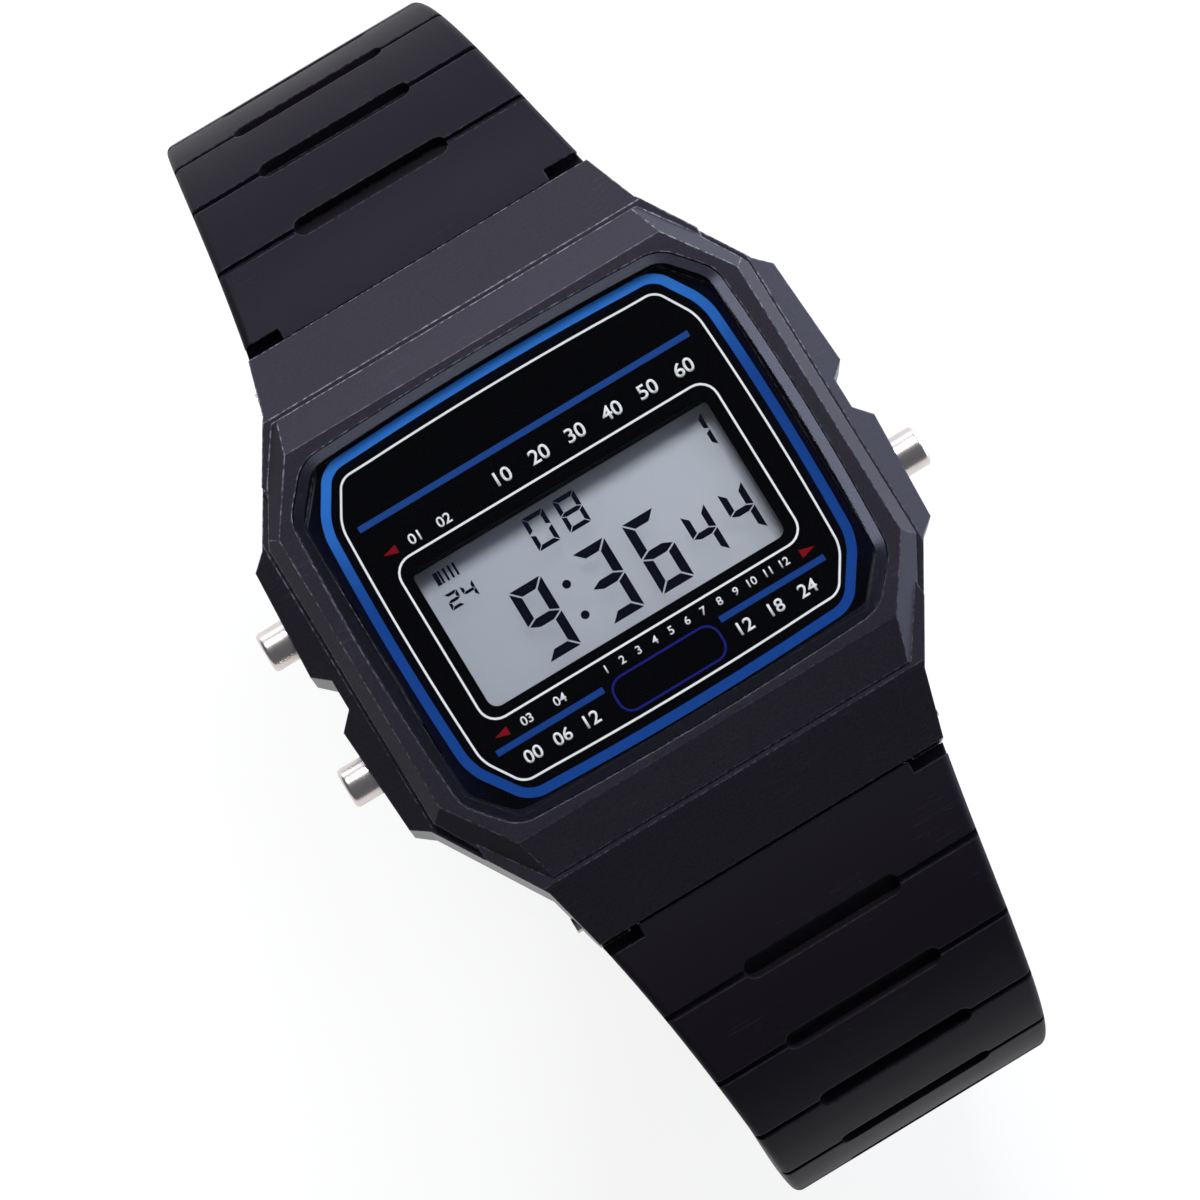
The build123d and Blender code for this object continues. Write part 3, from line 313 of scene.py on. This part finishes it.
def plain_print(name, colour, patchy):
    """One ink of the dial, laid a little unevenly."""
    material, shader = new_finish(name)
    cover = shader.grain(0.25 * mm, 2.0)
    base = shader.blend(patchy * cover, colour, darker(colour, 0.6))
    normal = shader.bump(cover, 2 * micron)
    ink = shader.coat(base, 0.5 + 0.1 * cover, 0.0, normal, no_gloss)
    return finished(material, shader, ink)


def display_ink():
    """The dark figures of the display, which shade the film behind them only a little."""
    material, shader = new_finish("lcd_ink")
    cover = shader.grain(0.2 * mm, 2.0)
    base = shader.blend(cover, rgb(8, 10, 24), rgb(14, 16, 32))
    dark = shader.coat(base, 0.5 + 0.1 * cover, fixed=no_gloss)
    through = shader.node("ShaderNodeBsdfTransparent")
    shaded = shader.node("ShaderNodeLightPath", output="Is Shadow Ray")
    return finished(material, shader, shader.over(0.94 * shaded, dark, through))


def display_silver():
    """The grey mirror film behind the display, with a painted highlight that makes it paler
    towards its right, where the light comes from.
    """
    material, shader = new_finish("lcd_silver")
    painted_light_run = shader.across("X") + 2 * mm * (shader.grain(4 * mm, 2.0) - 0.5)
    # Painted highlight, growing towards the right
    share = shader.band(painted_light_run, -9 * mm, 9 * mm)
    speckle = shader.grain(0.05 * mm, 1.0)
    base = shader.blend(share, rgb(204, 203, 203), rgb(220, 217, 214))
    base = shader.blend(0.12 * speckle, base, rgb(120, 126, 140))
    normal = shader.bump(speckle, 1.2 * micron)
    return finished(material, shader, shader.coat(base, 0.6 + 0.1 * speckle, 0.0, normal))


def circuit_board_green():
    """Green lacquer over fine copper tracks."""
    material, shader = new_finish("board_green")
    settings = {"feature": "DISTANCE_TO_EDGE"}
    cells = shader.node("ShaderNodeTexVoronoi", settings, {
        "Vector": shader.mapped(1.6 * mm), "Scale": 1.0, "Randomness": 0.55,
    })
    tracks = 1 - shader.band(cells, 0.03, 0.07)
    base = shader.blend(tracks, rgb(18, 74, 46), rgb(70, 132, 70))
    normal = shader.bump(tracks, 15 * micron)
    rough = 0.34 + 0.1 * shader.grain(2 * mm, 2.0)
    return finished(material, shader, shader.coat(base, rough, 0.0, normal))


def piezo_face():
    """The buzzer's brass disc, spotted and finely rolled."""
    material, shader = new_finish("piezo_brass")
    spread = shader.grain(1.5 * mm, 3.0)
    lines = shader.grain(0.08 * mm, 1.0, (1, 0.05, 1))
    base = shader.blend(0.4 * spread, rgb(198, 164, 96), rgb(150, 118, 62))
    rough = 0.34 + 0.15 * lines
    normal = shader.bump(lines, 2 * micron)
    return finished(material, shader, shader.coat(base, rough, 1.0, normal))


def turned_steel():
    """The buttons' bright steel, with fine rings turned into it."""
    material, shader = new_finish("button_steel")
    rings = shader.grain(0.03 * mm, 1.0, (1, 0.12, 0.12))
    stains = shader.grain(0.6 * mm, 3.0)
    edges = shader.edges(0.08 * mm)
    base = shader.blend(0.35 * stains + 0.2 * rings, rgb(234, 226, 222), rgb(156, 144, 140))
    rough = 0.2 + 0.1 * (rings - 0.5) + 0.14 * stains + 0.06 * edges
    normal = shader.bump(rings, 1.2 * micron, shader.rounded(0.05 * mm))
    return finished(material, shader, shader.coat(base, rough, 1.0, normal))


def dress_nodes():
    """Gives every piece of the frame its finish."""
    black = rgb(25, 22, 28)
    # The pale edge colours are partly worn resin, partly painted highlight
    case_resin = watch_resin("case_resin", black, rgb(160, 157, 174), 0.33, 0.17, 0.12 * mm)
    strap_resin = watch_resin("strap_resin", black, rgb(66, 63, 72), 0.48, 0.09, 0.15 * mm)
    buckle_resin = watch_resin(
        "buckle_plastic", rgb(21, 20, 26), rgb(80, 80, 90), 0.34, 0.22, 0.15 * mm,
    )
    seal_rubber = moulded("seal_rubber", rgb(20, 20, 22), 0.7)
    spring_steel = brushed("spring_steel", rgb(170, 168, 164), 0.3)
    screw_steel = brushed("screw_steel", rgb(205, 203, 198), 0.28)
    bar_steel = brushed("bar_steel", rgb(196, 194, 190), 0.3, (0.02, 1, 1))
    clip_steel = brushed("clip_steel", rgb(30, 30, 34), 0.5)
    button_steel = turned_steel()
    finishes = {
        "case_body": case_resin,
        "crystal": crystal_acrylic(),
        "crystal_gasket": moulded("rim_rubber", rgb(6, 7, 17), 0.7, 0.05),
        "dial_panel": panel_print(),
        "lcd_front_polarizer": clear_sheet("lcd_film", rgb(249, 250, 252), 1.08, 0.2),
        "lcd_segments": display_ink(),
        "lcd_cell": clear_sheet("lcd_glass", rgb(252, 253, 254), 1.1, 0.08),
        "lcd_reflector": display_silver(),
        "light_guide": clear_sheet("light_acrylic", rgb(230, 244, 236), 1.3, 0.1),
        "light_lamp": moulded("lamp_green", rgb(96, 176, 84), 0.3),
        "zebra_connectors": moulded("zebra_rubber", rgb(52, 50, 56), 0.7),
        "module_frame": moulded("frame_plastic", rgb(34, 34, 38), 0.5),
        "circuit_board": circuit_board_green(),
        "chip_cover": moulded("chip_resin", rgb(22, 22, 24), 0.45),
        "quartz_crystal": brushed("can_metal", rgb(190, 190, 188), 0.3),
        "side_contacts": brushed("contact_brass", rgb(204, 172, 104), 0.3),
        "module_screws": screw_steel,
        "battery": brushed("battery_steel", rgb(206, 206, 204), 0.26, (1, 0.03, 1)),
        "battery_contact": brushed("leaf_brass", rgb(198, 166, 98), 0.32),
        "battery_clamp": brushed("clamp_steel", rgb(186, 186, 184), 0.32, (0.02, 1, 1)),
        "insulator_sheet": moulded("sheet_film", rgb(224, 198, 96), 0.4),
        "buzzer_spring": spring_steel,
        "piezo_buzzer": piezo_face(),
        "case_back": brushed("back_steel", rgb(200, 199, 196), 0.3, (0.015, 1, 1)),
        "case_back_gasket": seal_rubber,
        "case_back_screws": screw_steel,
        "strap_buckle_half": strap_resin,
        "strap_tail_half": strap_resin,
        "buckle_frame": buckle_resin,
        "buckle_prong": buckle_resin,
        "buckle_pin": bar_steel,
        "keeper_loop": strap_resin,
    }
    for button in ("light_button", "mode_button", "alarm_button"):
        finishes[button] = button_steel
        finishes[button + "_spring"] = spring_steel
        finishes[button + "_seal"] = seal_rubber
        finishes[button + "_clip"] = clip_steel
    for half in ("12", "6"):
        finishes["spring_bar_tube_" + half] = bar_steel
        finishes["spring_bar_spring_" + half] = spring_steel
        for side in ("right_", "left_"):
            finishes["spring_bar_plunger_" + side + half] = bar_steel
    for name, finish in finishes.items():
        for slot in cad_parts[name].material_slots:
            slot.material = finish


# Print of the dial

print_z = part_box("dial_panel")[1].z
ink_thickness = 0.015 * mm
crystal_gap = 4 * micron
corner_steps = 6
side_steps = 10
least_corner = radians(12)

# Places on the panel are in millimetres, widths and radii in metres

# Border rings: the four long sides bow outwards between eight corners, taken from the right
# of 12 o'clock round to its left and given for one half
ring_middle_x = 0.06
blue_ring_corners = [(10.46, 11.04), (12.19, 8.15), (12.17, -7.2), (10.14, -10.29)]
white_ring_corners = [(9.94, 10.0), (11.24, 7.72), (11.24, -7.1), (9.9, -9.26)]
blue_ring_bow = 0.27 * mm
white_ring_bow = 0.2 * mm
blue_ring_width = 0.55 * mm
white_line_width = 0.125 * mm
blue_ring_radius = 0.9 * mm
white_ring_radius = 0.55 * mm

blue_bar_width = 0.36 * mm
upper_bar = (-10.38, 10.30, 7.04)
lower_bars = [(-10.23, -3.59, -7.14), (3.66, 10.20, -7.14)]
bay_box = (-3.33, 3.33, -9.03, -6.90)
bay_corner_radius = 0.85 * mm
bay_line_width = 0.13 * mm
display_box = (-9.9, 9.985, -5.685, 4.52)
display_corner_radius = 1.1 * mm
arrow_points = [(-9.96, -9.12, 5.14), (-9.88, -9.05, -6.36), (10.06, 9.19, -6.36)]
arrow_height = 0.5 * mm

# Rows of numbers: left, right, foot and height of the row, then what it holds
number_rows = [
    (-2.94, 9.80, 5.16, 0.83, ("10", "20", "30", "40", "50", "60")),
    (-8.53, -5.68, 4.87, 0.60, ("01", "02")),
    (-8.35, -5.42, -6.62, 0.52, ("03", "04")),
    (-3.10, 8.61, -6.49, 0.46, [str(hour) for hour in range(1, 13)]),
    (-9.19, -4.29, -8.51, 0.75, ("00", "06", "12")),
    (4.04, 9.18, -8.48, 0.75, ("12", "18", "24")),
]
number_spread = 1.05
number_weight = 0.014
digit_half_width = 0.4
weld_distance = 0.0001

# Share of an outline's half width past which a point lies on a side
on_side_from = 0.9
# Share of a side's length that bows
bowed_part = 0.8


def flat_face(points):
    """A bmesh with one face, from points in millimetres on the dial panel."""
    shape = bmesh.new()
    shape.faces.new([shape.verts.new((x * mm, y * mm, print_z)) for x, y in points])
    return shape


def bow_sides(shape, bow):
    """Cuts the long sides of an outline into steps and bows them outwards."""
    halves = [max(abs(v.co[axis]) for v in shape.verts) for axis in (0, 1)]
    long_edges = [e for e in shape.edges if e.calc_length() > halves[0]]
    bmesh.ops.subdivide_edges(shape, edges=long_edges, cuts=side_steps)
    corners = {axis: max(abs(v.co[axis]) for v in shape.verts) for axis in (0, 1)}
    for vert in shape.verts:
        for axis, other in ((0, 1), (1, 0)):
            on_side = abs(vert.co[axis]) > on_side_from * corners[axis]
            share = 1 - (vert.co[other] / (bowed_part * corners[other])) ** 2
            if on_side and share > 0:
                vert.co[axis] += bow * share * (1 if vert.co[axis] > 0 else -1)


def round_corners(shape, radius):
    sharp = [v for v in shape.verts if v.calc_edge_angle(0) > least_corner]
    bmesh.ops.bevel(
        shape, geom=sharp, offset=radius, offset_type="OFFSET", segments=corner_steps,
        profile=0.5, affect="VERTICES", material=-1,
    )


def keep_line(shape, width):
    """Leaves only a line of the width given inside the outline."""
    inner = list(shape.faces)
    bmesh.ops.inset_region(
        shape, faces=inner, thickness=width, use_even_offset=True, use_boundary=True,
    )
    bmesh.ops.delete(shape, geom=inner, context="FACES")


def raise_ink(shape):
    """Gives flat ink its thickness, upwards from the panel."""
    bmesh.ops.recalc_face_normals(shape, faces=shape.faces)
    if sum(face.normal.z for face in shape.faces) < 0:
        bmesh.ops.reverse_faces(shape, faces=shape.faces)
    raised = bmesh.ops.extrude_face_region(shape, geom=list(shape.faces), use_keep_orig=True)
    tops = [item for item in raised["geom"] if isinstance(item, bmesh.types.BMVert)]
    bmesh.ops.translate(shape, verts=tops, vec=(0, 0, ink_thickness))
    bmesh.ops.recalc_face_normals(shape, faces=shape.faces)
    return shape


def ring_line(corners, bow, width, radius, lift=0):
    """A border ring from the corners of its right half, lifted off the panel."""
    left = [(2 * ring_middle_x - x, y) for x, y in reversed(corners)]
    shape = flat_face(corners + left)
    bow_sides(shape, bow)
    round_corners(shape, radius)
    keep_line(shape, width)
    raise_ink(shape)
    bmesh.ops.translate(shape, verts=shape.verts, vec=(0, 0, lift))
    return shape


def box_line(box, radius, width):
    x0, x1, y0, y1 = box
    shape = flat_face([(x0, y0), (x1, y0), (x1, y1), (x0, y1)])
    round_corners(shape, radius)
    keep_line(shape, width)
    return raise_ink(shape)


def bar(x0, x1, y):
    half = blue_bar_width / mm / 2
    corners = [(x0, y - half), (x1, y - half), (x1, y + half), (x0, y + half)]
    return raise_ink(flat_face(corners))


def arrow(tip, foot, y):
    half = arrow_height / mm / 2
    return raise_ink(flat_face([(tip, y), (foot, y - half), (foot, y + half)]))


def number(text, middle_x, foot_y, height):
    """A plain number in flat ink, from its middle, its foot and its height."""
    curve = bpy.data.curves.new("number", "FONT")
    curve.body = text
    curve.offset = number_weight
    holder = bpy.data.objects.new("number", curve)
    mesh = bpy.data.meshes.new_from_object(holder)
    shape = bmesh.new()
    shape.from_mesh(mesh)
    bpy.data.objects.remove(holder)
    bpy.data.curves.remove(curve)
    bpy.data.meshes.remove(mesh)
    bmesh.ops.remove_doubles(shape, verts=shape.verts, dist=weld_distance)
    low = [min(v.co[axis] for v in shape.verts) for axis in (0, 1)]
    high = [max(v.co[axis] for v in shape.verts) for axis in (0, 1)]
    scale = height * mm / (high[1] - low[1])
    middle = (low[0] + high[0]) / 2
    bmesh.ops.translate(shape, verts=shape.verts, vec=(-middle, -low[1], 0))
    bmesh.ops.scale(shape, verts=shape.verts, vec=(scale * number_spread, scale, 1))
    bmesh.ops.translate(shape, verts=shape.verts, vec=(middle_x * mm, foot_y * mm, print_z))
    return raise_ink(shape)


def number_row(left, right, foot, height, texts):
    """Numbers spaced evenly over a row, the outer ones flush with its ends."""
    half_digit = digit_half_width * height * number_spread
    first = left + half_digit * len(texts[0])
    last = right - half_digit * len(texts[-1])
    pitch = (last - first) / (len(texts) - 1)
    middles = [first + place * pitch for place in range(len(texts))]
    return [number(text, middle, foot, height) for text, middle in zip(texts, middles)]


def ink_piece(name, finish, shapes):
    """One piece of dial print from several raised outlines."""
    whole = bmesh.new()
    for shape in shapes:
        part = bpy.data.meshes.new("part")
        shape.to_mesh(part)
        whole.from_mesh(part)
        shape.free()
        bpy.data.meshes.remove(part)
    mesh = bpy.data.meshes.new(name)
    whole.to_mesh(mesh)
    whole.free()
    mesh.materials.append(finish)
    piece = bpy.data.objects.new(name, mesh)
    bpy.context.scene.collection.objects.link(piece)
    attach(piece, "case")


def print_dial():
    # The first, paler blue of each is the painted highlight towards 12 o'clock
    blue = blue_print("ring_blue", rgb(52, 126, 220), rgb(20, 66, 146))
    bar_blue = blue_print("bar_blue", rgb(34, 74, 140), rgb(22, 60, 134))
    navy = plain_print("bay_navy", rgb(34, 36, 120), 0.3)
    white = plain_print("line_white", rgb(253, 251, 251), 0.1)
    red = plain_print("arrow_red", rgb(136, 18, 28), 0.3)
    # The ring is wider than the panel, so it is printed on the crystal's underside
    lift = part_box("crystal")[0].z + crystal_gap - print_z
    ink_piece("blue_ring", blue, [
        ring_line(blue_ring_corners, blue_ring_bow, blue_ring_width, blue_ring_radius, lift),
    ])
    ink_piece("white_ring", white, [
        ring_line(white_ring_corners, white_ring_bow, white_line_width, white_ring_radius),
    ])
    ink_piece("blue_bars", bar_blue, [bar(*place) for place in [upper_bar] + lower_bars])
    ink_piece("bay_outline", navy, [box_line(bay_box, bay_corner_radius, bay_line_width)])
    frame_line = box_line(display_box, display_corner_radius, white_line_width)
    ink_piece("display_frame_line", white, [frame_line])
    ink_piece("red_arrows", red, [arrow(*place) for place in arrow_points])
    numbers = []
    for row in number_rows:
        numbers += number_row(*row)
    ink_piece("dial_numbers", white, numbers)


# Floor, light and camera

floor_half = 3.0
floor_grey = 0.17
floor_glow = 0.86
dim_sky = 0.16
north_sky = 2.2
seen_sky = 0.92
sky_colour = (0.84, 0.89, 1.0, 1.0)
pure_white = (1.0, 1.0, 1.0, 1.0)

# Soft lamps: place, width and height in metres, power in watts, colour
lamps = {
    "upper_softbox": ((0.15, 0.43, 0.71), (0.32, 0.26), 5.3, (1.0, 1.0, 1.0)),
    "side_window": ((0.65, 0.11, 0.51), (0.3, 0.36), 1.1, (0.85, 0.9, 1.0)),
    "right_strip": ((0.16, 0.02, 0.053), (0.3, 0.1), 0.4, (0.78, 0.84, 1.0)),
}

camera_roll, camera_tilt, camera_lean = radians(31.36), radians(7.25), radians(-2.6)
camera_distance = 260 * mm
camera_lens = 146.64
camera_sensor = 36.0
camera_clip = 0.01
camera_aim = (-1.32 * mm, -3.07 * mm)


def white_floor():
    """A pale floor that reads as white, and keeps a faint shadow."""
    shape = bmesh.new()
    bmesh.ops.create_grid(shape, x_segments=1, y_segments=1, size=floor_half)
    mesh = bpy.data.meshes.new("floor")
    shape.to_mesh(mesh)
    shape.free()
    floor = bpy.data.objects.new("floor", mesh)
    bpy.context.scene.collection.objects.link(floor)
    material, shader = new_finish("floor_white")
    grey = (floor_grey, floor_grey, floor_grey, 1.0)
    diffuse = shader.node("ShaderNodeBsdfDiffuse", sockets={"Color": grey})
    strength = floor_glow * seen_directly(shader)
    glow = shader.node("ShaderNodeEmission", sockets={"Strength": strength})
    both = shader.node("ShaderNodeAddShader", sockets={0: diffuse, 1: glow})
    mesh.materials.append(finished(material, shader, both))


def seen_directly(shader):
    """1 for what the camera sees, by itself or in metal and glass."""
    rays = ("Is Camera Ray", "Is Glossy Ray", "Is Transmission Ray")
    kinds = [shader.node("ShaderNodeLightPath", output=ray) for ray in rays]
    return shader.sum("MINIMUM", kinds[0] + kinds[1] + kinds[2], 1.0)


def studio():
    """Dim surroundings, pale only beyond 12 o'clock, and the soft lamps.

    Past the floor's end the camera sees about the floor's own white.
    """
    world = bpy.data.worlds.new("studio")
    world.use_nodes = True
    bpy.context.scene.world = world
    shader = Shader(world.node_tree)
    ray = shader.node("ShaderNodeTexCoord", output="Generated")
    along = {"Vector": ray}
    x = shader.node("ShaderNodeSeparateXYZ", sockets=along, output="X")
    y = shader.node("ShaderNodeSeparateXYZ", sockets=along, output="Y")
    north = shader.band(y, 0.8, 0.98) * (1 - shader.band(abs(x), 0.5, 0.95))
    seen = shader.node("ShaderNodeLightPath", output="Is Camera Ray")
    strength = (1 - seen) * (dim_sky + north_sky * north) + seen_sky * seen
    sockets = {"Color": shader.blend(seen, sky_colour, pure_white), "Strength": strength}
    background = shader.node("ShaderNodeBackground", sockets=sockets)
    shader.node("ShaderNodeOutputWorld", sockets={"Surface": background})
    for name, settings in lamps.items():
        soft_lamp(name, *settings)


def soft_lamp(name, place, size, power, colour):
    """A rectangular lamp that faces the top of the crystal."""
    lamp = bpy.data.lights.new(name, "AREA")
    lamp.shape = "RECTANGLE"
    lamp.size, lamp.size_y = size
    lamp.energy = power
    lamp.color = colour
    holder = bpy.data.objects.new(name, lamp)
    bpy.context.scene.collection.objects.link(holder)
    aim = Vector((0, 0, crystal_top))
    holder.location = Vector(place)
    holder.rotation_euler = (holder.location - aim).to_track_quat("Z", "Y").to_euler()


def photo_camera():
    """The camera above the watch, tilted towards 6 o'clock and turned on its axis."""
    across, along = sin(camera_lean) * cos(camera_tilt), -sin(camera_tilt)
    back = Vector((across, along, cos(camera_lean) * cos(camera_tilt)))
    right = Vector((0, 1, 0)).cross(back).normalized()
    up = back.cross(right)
    turned_right = cos(camera_roll) * right - sin(camera_roll) * up
    turned_up = sin(camera_roll) * right + cos(camera_roll) * up
    aim = Vector((*camera_aim, bezel_top))
    camera = bpy.data.cameras.new("camera")
    camera.lens = camera_lens
    camera.sensor_width = camera_sensor
    camera.clip_start = camera_clip
    holder = bpy.data.objects.new("camera", camera)
    bpy.context.scene.collection.objects.link(holder)
    axes = Matrix((turned_right, turned_up, back)).transposed().to_4x4()
    holder.matrix_world = Matrix.Translation(aim + camera_distance * back) @ axes
    bpy.context.scene.camera = holder


bpy.context.scene.view_settings.view_transform = "Standard"
# Light passes the faces of the crystal and the display's glass on its way in and out
bpy.context.scene.cycles.transparent_max_bounces = 32
photo_camera()
dress_nodes()
print_dial()
white_floor()
studio()
